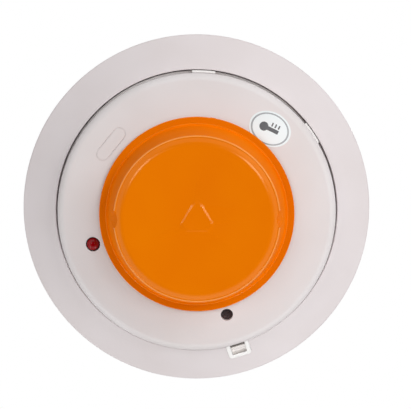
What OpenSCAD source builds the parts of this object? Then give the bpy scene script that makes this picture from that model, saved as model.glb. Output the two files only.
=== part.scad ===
// Plug-in ceiling heat detector: mounting base, trim ring, twist-off head and orange dust cover.
// Origin at the centre of the rear face, which lies on the ceiling; +Z points out of it, into the room.

/* [Head] */
// Outside diameter of the head
head_d = 108.4; // [95:0.1:140]
// Wall thickness of the head cover
head_wall = 2; // [1.6:0.1:2.6]
// Height of the head's skirt edge above the rear face
skirt_z = 5; // [4.2:0.1:6]
// Radius of the rounded shoulder
shoulder_r = 4; // [3:0.1:5.5]
// Slope of the face ring between the shoulder and the deck, in degrees
face_slope = 12; // [8:0.5:15]
// Width of the face ring, from the outside wall to the flat deck
face_w = 16.2; // [15:0.1:21]

/* [Base and trim] */
// Radial gap between the head and the lip of the trim ring
lip_gap = 1.65; // [1.4:0.05:2.4]
// Height of the lip above the rear face
lip_z = 11.6; // [10.5:0.1:14]
// Width of the trim ring outside its lip
trim_band = 14.15; // [11:0.05:20]
// Height of the vertical outer edge of the trim ring
trim_edge_h = 2; // [1.6:0.1:3.5]
// Wall thickness of the trim ring
trim_wall = 1.8; // [1.4:0.1:2.2]
// Thickness of the base floor
floor_t = 2.5; // [2:0.1:3.2]
// Thickness of the base's outer rim, under the trim ring
rim_t = 2; // [1.5:0.1:2.4]
// Free height for wiring between the floor and the back of the head
wiring_h = 6.9; // [6.2:0.1:9]
// Radius of the cable entry
cable_r = 17; // [13:0.5:20]
// Distance between the two mounting slots
slot_spacing = 65; // [60:0.5:72]
// End-to-end length of a mounting slot
slot_len = 15; // [10:0.5:17]
// Width of a mounting slot
slot_w = 4.6; // [4:0.1:5.4]

/* [Bayonet] */
// Width of a bayonet lug, in degrees
lug_w = 16; // [12:0.5:18]
// Turn from locked to free, in degrees
unlock_turn = 18; // [17:0.5:24]
// Radial reach of a lug from its ring
lug_reach = 3.9; // [3:0.1:4.6]

/* [Contacts] */
// Distance of the contact circle inside the back ring
contact_inset = 7; // [6:0.1:9]
// Thickness of a contact blade
blade_t = 0.5; // [0.4:0.05:0.8]
// Radius of a terminal screw's head
terminal_head_r = 2.9; // [2.4:0.1:3.4]

/* [Circuit] */
// Circuit board thickness
board_t = 1.6; // [1:0.1:2.4]
// Space for parts between the board and the deck
parts_h = 8.9; // [8:0.1:12]
// Radius of the indicator lamp
led_r = 2.5; // [2:0.1:3]
// Radius of the test port
port_r = 2.4; // [2:0.05:3]
// Travel of the test plunger
test_travel = 0.8; // [0.5:0.1:1]

/* [Sensing cage and dust cover] */
// Height of the cage above the deck
guard_h = 17; // [14:0.5:22]
// Number of cage ribs
guard_ribs = 12; // [8:2:16]
// Thickness of a cage rib
rib_t = 1.8; // [1.4:0.1:2.4]
// Wall thickness of the dust cover
cap_wall = 1.3; // [1:0.1:1.8]
// Width of the dust cover's flange
cap_flange_w = 3.3; // [2.6:0.1:4]
// Radial draft of the dust cover's wall
cap_draft = 2.9; // [2:0.1:3.4]
// Depth of the two finger flutes
flute_depth = 2.2; // [1.5:0.1:2.6]
// Radius of the finger flutes
flute_r = 4.4; // [3.5:0.1:6]

/* [Hidden] */
$fn = 96;

// clearances
run_gap = 0.05;      // radial running clearance of a pivot or a plunger
fit_gap = 0.3;       // between neighbouring mouldings
bayonet_gap = 1;     // between the head's skirt and the base's bayonet wall
slide_gap = 0.4;     // between faces that turn past each other
cut = 1;             // how far a cut runs past the surface
bite = 0.5;          // how far a shape sinks into the one it grows from
screw_gap = 0.15;    // around a screw's shank

// radii of the head, worked inwards from its outside
head_r = head_d / 2;
skirt_in_r = head_r - head_wall;
back_r = skirt_in_r - fit_gap;
bayonet_out_r = skirt_in_r - bayonet_gap;
bayonet_wall = 1.8;
bayonet_in_r = bayonet_out_r - bayonet_wall;
lug_tip_r = bayonet_in_r - slide_gap;
ring_out_r = lug_tip_r - lug_reach;
ring_wall = 2;
ring_in_r = ring_out_r - ring_wall;
contact_r = ring_in_r - contact_inset;
board_r = skirt_in_r - 6.2;
deck_r = head_r - face_w;

// radii of the base and the trim ring, worked outwards from the head
catch_in_r = head_r + slide_gap;
lip_r = head_r + lip_gap;
catch_out_r = lip_r - fit_gap;
trim_tube_r = lip_r + 1.5;
rim_r = trim_tube_r - 0.1;
trim_r = lip_r + trim_band;
lip_w = 0.4;
cone_slope = (lip_z - trim_edge_h) / (trim_band - lip_w);
function cone_z(r) = trim_edge_h + (trim_r - r) * cone_slope;
cone_drop = trim_wall * sqrt(1 + cone_slope * cone_slope);

// heights, from the ceiling into the room
catch_h = 6;
catch_lug_z = lip_z + 0.2;
bayonet_h = floor_t + wiring_h - slide_gap;
ledge_t = 1.7;
back_z = floor_t + wiring_h;
back_t = 2;
post_h = 1.6;
back_top_z = back_z + back_t;
board_z = back_top_z + post_h;
board_top_z = board_z + board_t;
deck_in_z = board_top_z + parts_h;
deck_z = deck_in_z + head_wall;
guard_top_z = deck_z + guard_h;

// section of the head cover: a cone between the deck and a round shoulder
shoulder_x = head_r - shoulder_r;
function tangent_x(o) = shoulder_x + (shoulder_r - o) * sin(face_slope);
shoulder_z = deck_z - (tangent_x(0) - deck_r) * tan(face_slope) - shoulder_r * cos(face_slope);
function tangent_z(o) = shoulder_z + (shoulder_r - o) * cos(face_slope);
function face_z(r) = deck_z - max(0, r - deck_r) * tan(face_slope);

// bayonet
bayonet_angles = [30, 150, 270];
lug_bottom_z = floor_t + 2.3;
ledge_drop = 2;
ledge_bottom_z = bayonet_h - ledge_drop;
lug_top_z = ledge_bottom_z - slide_gap;
stop_w = 2.5;
stop_gap = 0.5;

// contacts and terminals
contact_angles = [45, 135, 225, 315];
pad_t = 1.5;
pad_z = floor_t + pad_t;
clip_t = 0.8;
finger_t = 0.4;
finger_w = 10;
finger_gap = 0.3;
finger_h = 4.2;
clip_w = 8;
clip_in = 4;
clip_out = 2;
pad_margin = 1;
clip_top_z = pad_z + clip_t;
blade_w = 7;
tail_w = 3;
terminal_r = contact_r - 8;
terminal_screw_r = 1.6;
screw_floor_z = 0.8;
screw_tip_z = 1;
driver_w = 0.8;
driver_depth = 0.9;
driver_turn = 35;
slot_gap = 0.1;
slot_play = 0.6;
foot_w = 1;
foot_h = 0.5;
solder_h = 0.6;
clamp_w = 7;
clamp_t = 1;
screw_head_h = 2;

// catch lugs that hold the trim ring
catch_angles = [34.1, 87.1];
catch_w = 9.6;
nib_w = 6;
nib_z = lip_z - 4.2;
nib_h = 1.6;
nib_reach = 1;
window_play = 1;
trim_rib_t = 1.2;
trim_rib_clear = 0.5;

// release pocket and lever
pocket_angle = -73.25;
pocket_bar_t = 0.7;
pocket_slot = 1;
lever_len = 3.4;
lever_half = 2.7;
pocket_wall = 1.55;
pocket_side = 1.4;
pocket_round = 1.2;
pocket_rise = 0.7;
pocket_in = catch_in_r;
lever_in = pocket_in + pocket_bar_t + pocket_slot;
lever_out = lever_in + lever_len;
pocket_out_in = lever_out + slide_gap;
pocket_out = pocket_out_in + pocket_wall;
pocket_half_in = lever_half + fit_gap;
pocket_half = pocket_half_in + pocket_side;
pivot_u = (lever_in + lever_out) / 2;
pivot_z = rim_t + 2.3;
pivot_r = 0.8;
tongue_t = 1.8;
lever_pad_h = 4;
lever_dip = 0.5;
pivot_boss_r = 1.3;
groove_at = [0.9, 1.9];
groove_w = 0.4;
groove_end = 0.5;
groove_depth = 0.6;

// head fasteners
case_angles = [30, 150, 270];
case_r = deck_r - 4;
boss_r = 3.2;
case_screw_r = 1.45;
case_head_r = 2.7;
case_head_h = 1.6;
pilot_depth = 6.4;
case_sink = 0.2;
case_boss_wall = 1.1;
driver_cross = 1.7;

// indicator lamp
led_angle = 196.2;
led_place_r = deck_r + 3.85;
led_hole_r = led_r + fit_gap;
led_flange_r = led_r + 0.4;
led_proud = 1.1;
led_body_h = 6.4;
led_flange_h = 1;
spacer_bore_r = 0.4;

// test port
port_angle = -73.5;
port_place_r = deck_r + 3.05;
plunger_r = port_r - run_gap;
plunger_flange_r = port_r + 0.95;
plunger_flange_h = 0.8;
port_tube_r = port_r + 1.2;
switch_w = 6;
switch_h = 3.5;
button_r = 1.6;
button_proud = test_travel + 0.2;
button_in = 1.6;
port_recess = 3.1;
switch_top_z = board_top_z + switch_h;
plunger_z = switch_top_z + button_proud;
port_tube_z = plunger_z + plunger_flange_h + 0.1;

// sensing cage and thermistor
guard_r = deck_r - 10.8;
guard_ring_r = guard_r + 3;
guard_ring_in_r = guard_r - rib_t;
guard_ring_h = 3;
guard_shoulder = 6;
guard_hub_r = 8;
peg_r = 1.2;
peg_place_r = (guard_ring_r + guard_r) / 2;
peg_angles = [90, 210, 330];
bead_r = 1.9;
bead_neck_r = 1.3;
bead_z = guard_top_z - 6.5;
sleeve_r = 1.7;
sleeve_gap = 0.2;
sleeve_top_z = bead_z - 3;
lead_r = 0.3;
lead_x = 0.8;
sensor_boss_r = 4;
sensor_boss_h = 3.5;

// dust cover
cap_clear = 1.8;
cap_base_r = guard_ring_r + 4.1;
cap_flange_r = cap_base_r + cap_flange_w;
cap_flange_t = 1.55;
cap_foot_h = 0.25;
cap_flange_z = deck_z + cap_foot_h;
cap_wall_z = cap_flange_z + cap_flange_t;
cap_in_z = guard_top_z + cap_clear;
cap_top_z = cap_in_z + cap_wall;
cap_bevel = 4;
cap_crest_z = cap_top_z - cap_bevel;
cap_crest_r = cap_base_r - cap_draft;
cap_bevel_w = 2.9;
cap_top_r = cap_crest_r - cap_bevel_w;
cap_edge = 0.4;
cap_rib_t = 1.2;
cap_rib_h = 4;
cap_ribs = 6;
flute_c = cap_crest_r - flute_depth + flute_r;
flute_drop = 3.2;
flute_lean = 18;
mark_r = 6.8;
mark_round = 1.2;
mark_h = 0.35;

// board parts
chip_len = 10;
chip_half = 2;
chip_lift = 0.2;
chip_h = 1.8;
legs = 8;
leg_pitch = 1.27;
leg_w = 0.4;
can_r = 3.15;
can_h = 7;
ref_r = 1.5;
ref_h = 4;

// face details
hole_reach = 4;
pill_angle = 140.7;
pill_place_r = deck_r + 4.6;
pill_len = 15.2;
pill_w = 5.4;
pill_line = 0.45;
pill_depth = 0.3;
label_angle = 49.4;
label_place_r = deck_r + 5.2;
label_turn = -26;
label_len = 16.8;
label_w = 13.2;
label_t = 0.12;
label_lift = 0.02;
label_points = 72;

// ---- shared shapes ----

// sector of a ring, w degrees wide and centred on angle a
module ring_block(r1, r2, z1, z2, a, w)
  rotate([0, 0, a - w / 2]) rotate_extrude(angle = w)
    translate([r1, z1]) square([r2 - r1, z2 - z1]);

// whole ring
module ring(r1, r2, z1, z2)
  rotate_extrude() translate([r1, z1]) square([r2 - r1, z2 - z1]);

// upright cylinder between two heights
module post(r, z1, z2) translate([0, 0, z1]) cylinder(r = r, h = z2 - z1);

// moves a shape out to a radius and turns it to an angle
module at(r, a, turn = 0) rotate([0, 0, a]) translate([r, 0, 0]) rotate([0, 0, turn]) children();

// block from u1 to u2 along X, centred on Y
module bar(u1, u2, half, z1, z2)
  translate([u1, -half, z1]) cube([u2 - u1, 2 * half, z2 - z1]);

// flat outline with two straight sides and two round ends
module stadium(length, w) {
  square([length - w, w], center = true);
  for (s = [-1, 1]) translate([s * (length - w) / 2, 0]) circle(d = w);
}

// screw standing head up: shank, cheese head and driver slot
module slotted_screw(shank_r, head_r, head_h, z_tip, z_seat)
  difference() {
    union() {
      post(shank_r, z_tip, z_seat + bite);
      post(head_r, z_seat, z_seat + head_h);
    }
    bar(-head_r - cut, head_r + cut, driver_w / 2, z_seat + head_h - driver_depth, z_seat + head_h + cut);
  }

// ---- base ----

// upper limit of the pocket's rim: level at the lip, then parallel to the trim ring's cone
module trim_envelope(rise)
  rotate_extrude() polygon([
    [0, 0], [trim_r, 0], [trim_r, cone_z(trim_r) + rise],
    [lip_r + lip_w, lip_z + rise], [0, lip_z + rise],
  ]);

// plan of the pocket, grown all round by g
module pocket_outline(g = 0)
  union() {
    in = pocket_in - g;
    translate([in, -pocket_half - g])
      square([pocket_out - pocket_round - in, 2 * (pocket_half + g)]);
    translate([in, -pocket_half + pocket_round])
      square([pocket_out + g - in, 2 * (pocket_half - pocket_round)]);
    for (s = [-1, 1]) translate([pocket_out - pocket_round, s * (pocket_half - pocket_round)])
      circle(r = pocket_round + g);
  }

module release_pocket()
  intersection() {
    linear_extrude(lip_z + pocket_rise + cut) pocket_outline();
    trim_envelope(pocket_rise);
  }

// well for the lever, and the bore of its pivot
module pocket_well() {
  bar(pocket_in + pocket_bar_t, pocket_out_in, pocket_half_in, rim_t, lip_z + 3 * cut);
  translate([pivot_u, 0, pivot_z]) rotate([90, 0, 0])
    cylinder(r = pivot_r + run_gap, h = 2 * (pocket_half + cut), center = true);
}

// low wall under the lip that rises into the catch lugs
module catch_wall()
  difference() {
    ring(catch_in_r, catch_out_r, rim_t - bite, catch_lug_z);
    for (k = [0, 1]) {
      from = catch_angles[k] + catch_w / 2;
      to = catch_angles[1 - k] - catch_w / 2 + 360 * k;
      ring_block(catch_in_r - cut, catch_out_r + cut, catch_h, catch_lug_z + cut, (from + to) / 2, to - from);
    }
  }

module mounting_base() color("white")
  difference() {
    union() {
      cylinder(r = rim_r, h = rim_t);
      cylinder(r = (catch_in_r + catch_out_r) / 2, h = floor_t);
      catch_wall();
      ring(bayonet_in_r, bayonet_out_r, rim_t - bite, bayonet_h);
      for (a = catch_angles)
        ring_block(catch_out_r - bite, catch_out_r + nib_reach, nib_z, nib_z + nib_h, a, nib_w);
      for (a = bayonet_angles) bayonet_seat(a);
      for (a = contact_angles) rotate([0, 0, a])
        bar(terminal_r - clip_in - pad_margin, contact_r + clip_out + pad_margin / 2,
          clip_w / 2 + pad_margin, rim_t - bite, pad_z);
      rotate([0, 0, pocket_angle]) release_pocket();
    }
    translate([0, 0, -cut]) cylinder(r = cable_r, h = floor_t + 2 * cut);
    for (s = [-1, 1]) translate([s * slot_spacing / 2, 0, -cut])
      linear_extrude(floor_t + 2 * cut) stadium(slot_len, slot_w);
    for (a = contact_angles) at(terminal_r, a) post(terminal_screw_r + run_gap, screw_floor_z, pad_z + cut);
    rotate([0, 0, pocket_angle]) pocket_well();
  }

// one ledge that a lug turns under, with a stop at each end of the turn
module bayonet_seat(a) {
  stop_in_r = ring_out_r + slide_gap;
  lock_a = a - lug_w / 2 - stop_gap - stop_w / 2;
  free_a = a + lug_w / 2 + unlock_turn + stop_gap + stop_w / 2;
  ledge_end = a + lug_w / 2 + stop_gap;
  ring_block(ring_out_r + bayonet_gap, bayonet_in_r + bite, ledge_bottom_z, ledge_bottom_z + ledge_t,
    (lock_a + ledge_end) / 2, ledge_end - lock_a);
  for (s = [lock_a, free_a])
    ring_block(stop_in_r, bayonet_in_r + bayonet_wall / 2, floor_t - bite, ledge_bottom_z + bite,
      s, stop_w);
}

module trim_flange() color("mistyrose")
  difference() {
    union() {
      rotate_extrude() polygon([
        [trim_r, 0], [trim_r, trim_edge_h], [lip_r + lip_w, lip_z], [lip_r, lip_z],
        [lip_r, rim_t], [trim_tube_r, rim_t], [trim_tube_r, cone_z(trim_tube_r) - cone_drop],
        [trim_r - trim_wall, cone_z(trim_r - trim_wall) - cone_drop], [trim_r - trim_wall, 0],
      ]);
      for (a = [0:30:330]) rotate([0, 0, a]) trim_rib();
    }
    for (a = catch_angles)
      ring_block(lip_r - cut, catch_out_r + nib_reach + fit_gap,
        nib_z - fit_gap, nib_z + nib_h + fit_gap, a, nib_w + window_play);
    rotate([0, 0, pocket_angle]) translate([0, 0, -cut])
      linear_extrude(lip_z + 2 * cut) pocket_outline(fit_gap);
  }

// upright rib under the cone, clear of the ceiling and of the base's rim
module trim_rib() {
  in = trim_tube_r - bite;
  out = trim_r - trim_wall / 2;
  rotate([90, 0, 0]) linear_extrude(trim_rib_t, center = true) polygon([
    [in, rim_t + 2 * trim_rib_clear], [in, cone_z(in) - cone_drop + bite],
    [out, cone_z(out) - trim_wall / 2], [out, trim_rib_clear], [out - rim_t, trim_rib_clear],
  ]);
}

module release_lever() color("gainsboro") rotate([0, 0, pocket_angle])
  difference() {
    union() {
      translate([pivot_u, 0, pivot_z]) rotate([90, 0, 0])
        cylinder(r = pivot_r, h = 2 * (pocket_half - slide_gap), center = true);
      translate([pivot_u, 0, pivot_z]) rotate([90, 0, 0])
        cylinder(r = pivot_boss_r, h = 2 * lever_half, center = true);
      intersection() {
        union() {
          bar(pivot_u - tongue_t / 2, pivot_u + tongue_t / 2, lever_half, pivot_z, lip_z);
          bar(lever_in, lever_out, lever_half, lip_z - lever_pad_h, lip_z);
        }
        trim_envelope(-lever_dip);
      }
    }
    for (u = [lever_in + groove_at[0], lever_in + groove_at[1]])
      bar(u, u + groove_w, lever_half - groove_end, cone_z(u) - lever_dip - groove_depth, lip_z + cut);
  }

// ---- contacts and terminals in the base ----

module contact_clip(a) color("gold")
  difference() {
    union() {
      rotate([0, 0, a]) bar(terminal_r - clip_in, contact_r + clip_out, clip_w / 2, pad_z, clip_top_z);
      for (s = [-1, 1]) {
        mid = contact_r + s * (blade_t / 2 + finger_gap + finger_t / 2);
        ring_block(mid - finger_t / 2, mid + finger_t / 2, (pad_z + clip_top_z) / 2, pad_z + finger_h,
          a, finger_w);
      }
    }
    at(terminal_r, a) post(terminal_screw_r + screw_gap, pad_z - cut, clip_top_z + cut);
  }

module contact_clip_1() contact_clip(contact_angles[0]);
module contact_clip_2() contact_clip(contact_angles[1]);
module contact_clip_3() contact_clip(contact_angles[2]);
module contact_clip_4() contact_clip(contact_angles[3]);

module wire_clamps() color("silver")
  for (a = contact_angles) at(terminal_r, a)
    difference() {
      bar(-clamp_w / 2, clamp_w / 2, clamp_w / 2, clip_top_z, clip_top_z + clamp_t);
      post(terminal_screw_r + screw_gap, clip_top_z - cut, clip_top_z + clamp_t + cut);
    }

module terminal_screws() color("silver")
  for (a = contact_angles) at(terminal_r, a, driver_turn)
    slotted_screw(terminal_screw_r, terminal_head_r, screw_head_h, screw_tip_z, clip_top_z + clamp_t);

// ---- head ----

module head_back() color("white")
  difference() {
    union() {
      post(back_r, back_z, back_top_z);
      ring(ring_in_r, ring_out_r, lug_bottom_z, back_z + bite);
      for (a = bayonet_angles)
        ring_block(ring_out_r - bite, lug_tip_r, lug_bottom_z, lug_top_z, a, lug_w);
      for (a = case_angles) at(case_r, a) post(case_head_r + case_boss_wall, back_z + bite, board_z);
    }
    for (a = case_angles) at(case_r, a) {
      post(case_screw_r + screw_gap, back_z - cut, board_z + cut);
      post(case_head_r + fit_gap, back_z - cut, back_z + case_head_h + case_sink);
    }
    for (a = contact_angles)
      ring_block(contact_r - blade_t / 2 - slot_gap, contact_r + blade_t / 2 + slot_gap,
        back_z - cut, back_top_z + cut, a, blade_w + slot_play);
  }

// blade with a foot on the back moulding and a tail soldered into the board
module contact_blade(a) color("gold") {
  in = contact_r - blade_t / 2;
  out = contact_r + blade_t / 2;
  union() {
    ring_block(in, out, clip_top_z + slide_gap, board_z, a, blade_w);
    ring_block(in, out, board_z - board_t / 8, board_top_z + solder_h, a, tail_w);
    ring_block(in - foot_w, out + foot_w, back_top_z, back_top_z + foot_h, a, blade_w + 2.5 * slot_play);
  }
}

module contact_blade_1() contact_blade(contact_angles[0]);
module contact_blade_2() contact_blade(contact_angles[1]);
module contact_blade_3() contact_blade(contact_angles[2]);
module contact_blade_4() contact_blade(contact_angles[3]);

module circuit_board() color("darkgreen")
  difference() {
    post(board_r, board_z, board_top_z);
    for (a = case_angles) at(case_r, a) post(case_screw_r + fit_gap, board_z - cut, board_top_z + cut);
    for (a = contact_angles)
      ring_block(contact_r - blade_t / 2 - slot_gap, contact_r + blade_t / 2 + slot_gap,
        board_z - cut, board_top_z + cut, a, tail_w + slot_play);
    for (s = [-1, 1]) translate([s * lead_x, 0, 0])
      post(lead_r + run_gap, board_z - cut, board_top_z + cut);
  }

// flat sixteen-legged chip
module control_chip() translate([-13, 10, board_top_z]) {
  color("dimgray") bar(-chip_len / 2, chip_len / 2, chip_half, chip_lift, chip_h);
  for (s = [0, 1], k = [0:legs - 1]) color("silver") rotate([0, 0, 180 * s])
    translate([(k - (legs - 1) / 2) * leg_pitch - leg_w / 2, chip_half, 0]) cube([leg_w, 1, bite]);
}

module filter_capacitor() color("darkslateblue") translate([13, 14, 0])
  union() {
    post(can_r, board_top_z, board_top_z + 0.9);
    post(can_r - 0.25, board_top_z + 0.5, board_top_z + 1.4);
    post(can_r, board_top_z + 1, board_top_z + can_h);
  }

// part with a round body and two bent leads, lying on the board
module axial_part(body_r, body_len, span) {
  z = board_top_z + body_r + slot_gap;
  translate([0, 0, z]) rotate([0, 90, 0]) cylinder(r = body_r, h = body_len, center = true);
  translate([0, 0, z]) rotate([0, 90, 0]) cylinder(r = lead_r, h = span, center = true);
  for (s = [-1, 1]) translate([s * (span / 2 - lead_r), 0, 0]) post(lead_r, board_top_z, z);
}

module resistors() color("tan")
  for (k = [0:3]) translate([11, -8 - 4 * k, 0]) union() axial_part(1.15, 6.3, 9.5);

module suppressor_diodes() color("dimgray")
  for (k = [0:1]) translate([-13, -10 - 5 * k, 0]) union() axial_part(1.35, 5.2, 9);

module reference_thermistor() color("black") translate([0, 24, 0])
  union() {
    for (s = [-1, 1]) translate([s * lead_x, 0, 0]) post(lead_r, board_top_z, board_top_z + ref_h);
    translate([0, 0, board_top_z + ref_h + 0.6]) sphere(r = ref_r);
  }

module test_switch() color("dimgray") at(port_place_r, port_angle)
  difference() {
    bar(-switch_w / 2, switch_w / 2, switch_w / 2, board_top_z, switch_top_z);
    post(button_r + run_gap, switch_top_z - button_in - test_travel - fit_gap, switch_top_z + cut);
  }

module switch_button() color("ivory") at(port_place_r, port_angle)
  post(button_r, switch_top_z - button_in, plunger_z);

module test_plunger() color("saddlebrown") at(port_place_r, port_angle)
  union() {
    post(plunger_flange_r, plunger_z, plunger_z + plunger_flange_h);
    post(plunger_r, plunger_z + plunger_flange_h / 4, face_z(port_place_r) - port_recess);
  }

module led_spacer() color("ivory") at(led_place_r, led_angle)
  difference() {
    post(led_flange_r, board_top_z, led_seat_z());
    for (s = [-1, 1]) translate([s * leg_pitch, 0, 0])
      post(spacer_bore_r, board_top_z - cut, led_seat_z() + cut);
  }

function led_dome_z() = face_z(led_place_r) + led_proud - led_r;
function led_seat_z() = led_dome_z() - led_body_h;

module indicator_led() color("darkred") at(led_place_r, led_angle)
  union() {
    post(led_flange_r, led_seat_z(), led_seat_z() + led_flange_h);
    post(led_r, led_seat_z() + bite, led_dome_z());
    translate([0, 0, led_dome_z()]) sphere(r = led_r);
  }

module thermistor_leads() color("silver")
  for (s = [-1, 1]) translate([s * lead_x, 0, 0]) post(lead_r, board_z, sleeve_top_z);

module thermistor_sleeve() color("ivory")
  difference() {
    post(sleeve_r, board_top_z, sleeve_top_z);
    for (s = [-1, 1]) translate([s * lead_x, 0, 0])
      post(lead_r + run_gap, board_top_z - cut, sleeve_top_z + cut);
  }

module sensing_thermistor() color("black")
  union() {
    post(bead_neck_r, sleeve_top_z, bead_z);
    translate([0, 0, bead_z]) sphere(r = bead_r);
  }

// one cage rib: up the side, round the shoulder and in to the hub
module guard_rib() {
  in_x = guard_r - guard_shoulder;
  bend_z = guard_top_z - guard_shoulder;
  rotate([90, 0, 0]) linear_extrude(rib_t, center = true)
    difference() {
      union() {
        translate([0, deck_z + bite]) square([guard_r, bend_z - deck_z - bite]);
        translate([0, bend_z - cut]) square([in_x, guard_shoulder + cut]);
        translate([in_x, bend_z]) circle(r = guard_shoulder);
      }
      translate([-cut, deck_z - cut]) square([guard_r - rib_t + cut, bend_z - deck_z + cut]);
      translate([-cut, bend_z - cut]) square([in_x + cut, guard_shoulder - rib_t + cut]);
      translate([in_x, bend_z]) circle(r = guard_shoulder - rib_t);
    }
}

module thermistor_guard() color("white")
  union() {
    ring(guard_ring_in_r, guard_ring_r, deck_z, deck_z + guard_ring_h);
    post(guard_hub_r, guard_top_z - rib_t, guard_top_z);
    for (k = [0:guard_ribs - 1]) rotate([0, 0, (k + 0.5) * 360 / guard_ribs]) guard_rib();
    for (a = peg_angles) at(peg_place_r, a) post(peg_r, deck_in_z - peg_r / 2, deck_z + bite);
  }

// solid under the cover's outer surface, or under its inner surface for o = head_wall
module cover_section(o, z) {
  polygon([
    [0, z], [head_r - o, z], [head_r - o, shoulder_z], [tangent_x(o), tangent_z(o)],
    [deck_r, tangent_z(o) + (tangent_x(o) - deck_r) * tan(face_slope)],
    [0, tangent_z(o) + (tangent_x(o) - deck_r) * tan(face_slope)],
  ]);
  translate([shoulder_x, shoulder_z]) circle(r = shoulder_r - o);
}

// layer that follows the cover's face, between two heights above it
module face_layer(h1, h2)
  rotate_extrude() polygon([
    [0, deck_z + h1], [deck_r, deck_z + h1], [shoulder_x, face_z(shoulder_x) + h1],
    [shoulder_x, face_z(shoulder_x) + h2], [deck_r, deck_z + h2], [0, deck_z + h2],
  ]);

module head_cover() color("mistyrose")
  difference() {
    union() {
      difference() {
        rotate_extrude() difference() {
          union() cover_section(0, skirt_z);
          union() cover_section(head_wall, skirt_z - cut);
        }
        at(port_place_r, port_angle) post(port_r, deck_in_z - hole_reach, deck_z + cut);
      }
      for (a = case_angles) at(case_r, a) post(boss_r, board_top_z, deck_in_z + head_wall * 0.4);
      at(port_place_r, port_angle) difference() {
        post(port_tube_r, port_tube_z, face_z(port_place_r) - head_wall * 0.6);
        post(port_r, port_tube_z - cut, deck_z + cut);
      }
      post(sensor_boss_r, deck_in_z + bite, deck_z + sensor_boss_h);
    }
    for (a = case_angles) at(case_r, a) post(case_screw_r + run_gap, board_top_z - cut, case_tip_z() + slide_gap);
    at(led_place_r, led_angle) post(led_hole_r, deck_in_z - hole_reach, deck_z + cut);
    post(sleeve_r + sleeve_gap, deck_in_z - cut, deck_z + sensor_boss_h + cut);
    for (a = peg_angles) at(peg_place_r, a) post(peg_r + run_gap, deck_in_z - cut, deck_z + cut);
    intersection() {
      at(pill_place_r, pill_angle, 90) translate([0, 0, deck_in_z]) linear_extrude(parts_h)
        difference() {
          stadium(pill_len, pill_w);
          stadium(pill_len - 2 * pill_line, pill_w - 2 * pill_line);
        }
      face_layer(-pill_depth, cut);
    }
  }

function case_tip_z() = board_top_z + pilot_depth;

// screws that stand head down in the back's counterbores
module case_screws() color("silver")
  for (a = case_angles) at(case_r, a)
    difference() {
      union() {
        post(case_screw_r, back_z + case_head_h / 2, case_tip_z());
        post(case_head_r, back_z + case_sink, back_z + case_sink + case_head_h);
      }
      for (t = [0, 90]) rotate([0, 0, t])
        bar(-driver_cross, driver_cross, driver_w / 2, back_z - cut, back_z + case_sink + driver_depth);
    }

module approval_label() color("ghostwhite")
  intersection() {
    at(label_place_r, label_angle, label_turn - label_angle) translate([0, 0, deck_in_z])
      linear_extrude(parts_h) polygon([
        for (k = [0:label_points - 1])
          [cos(k * 360 / label_points) * label_len / 2, sin(k * 360 / label_points) * label_w / 2],
      ]);
    face_layer(label_lift, label_lift + label_t);
  }

// ---- dust cover ----

// triangle with round corners, pointing along +Y
module round_triangle(r, corner) {
  function corner_c(k) = (r - corner) * [cos(90 + 120 * k), sin(90 + 120 * k)];
  function corner_p(k, s) = corner_c(k) + corner * [cos(90 + 120 * k + s), sin(90 + 120 * k + s)];
  polygon([for (k = [0:2], s = [-60, 60]) corner_p(k, s)]);
  for (k = [0:2]) translate(corner_c(k)) circle(r = corner);
}

module cap_outer()
  polygon([
    [0, deck_z], [cap_base_r, deck_z], [cap_base_r, cap_flange_z], [cap_flange_r, cap_flange_z],
    [cap_flange_r, cap_wall_z - cap_edge], [cap_flange_r - cap_edge, cap_wall_z],
    [cap_base_r, cap_wall_z], [cap_crest_r, cap_crest_z], [cap_top_r, cap_top_z - cap_edge / 2],
    [cap_top_r - cap_edge, cap_top_z],
    [0, cap_top_z],
  ]);

module cap_inner()
  polygon([
    [0, deck_z - cut], [cap_base_r - cap_wall, deck_z - cut], [cap_base_r - cap_wall, cap_wall_z],
    [cap_crest_r - cap_wall, cap_crest_z - cap_edge], [cap_top_r - cap_wall + cap_edge, cap_in_z],
    [0, cap_in_z],
  ]);

// rods for the two finger flutes, leaning towards the axis as they rise past the crest
module flutes(r, floor_extra, rise)
  for (s = [-1, 1]) translate([s * flute_c, 0, cap_crest_z]) rotate([0, -s * flute_lean, 0])
    post(r, -flute_drop - floor_extra, rise);

module dust_cover() color("darkorange")
  difference() {
    union() {
      rotate_extrude() difference() {
        cap_outer();
        cap_inner();
      }
      intersection() {
        flutes(flute_r + cap_wall, cap_wall, cap_bevel - cap_wall / 2);
        rotate_extrude() cap_outer();
      }
      for (k = [0:cap_ribs - 1]) rotate([0, 0, (k + 0.5) * 360 / cap_ribs])
        bar(guard_ring_r + fit_gap, cap_base_r - cap_wall / 2, cap_rib_t / 2,
          deck_z + cap_foot_h, deck_z + cap_rib_h);
      translate([0, 0, cap_in_z + cap_wall / 2]) linear_extrude(mark_h + cap_wall / 2)
        round_triangle(mark_r, mark_round);
    }
    flutes(flute_r, 0, cap_bevel + 2 * cut);
  }

mounting_base();
trim_flange();
release_lever();
contact_clip_1();
contact_clip_2();
contact_clip_3();
contact_clip_4();
wire_clamps();
terminal_screws();
head_back();
contact_blade_1();
contact_blade_2();
contact_blade_3();
contact_blade_4();
circuit_board();
control_chip();
filter_capacitor();
resistors();
suppressor_diodes();
reference_thermistor();
test_switch();
switch_button();
test_plunger();
led_spacer();
indicator_led();
thermistor_leads();
thermistor_sleeve();
sensing_thermistor();
thermistor_guard();
head_cover();
case_screws();
approval_label();
dust_cover();
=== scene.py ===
"""Plug-in heat detector: mouldings, lamp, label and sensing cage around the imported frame.

Sizes are in millimetres until a helper puts them into the mesh. Places come from the frame.
"""

import math

import bpy
from mathutils import Matrix, Vector


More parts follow.
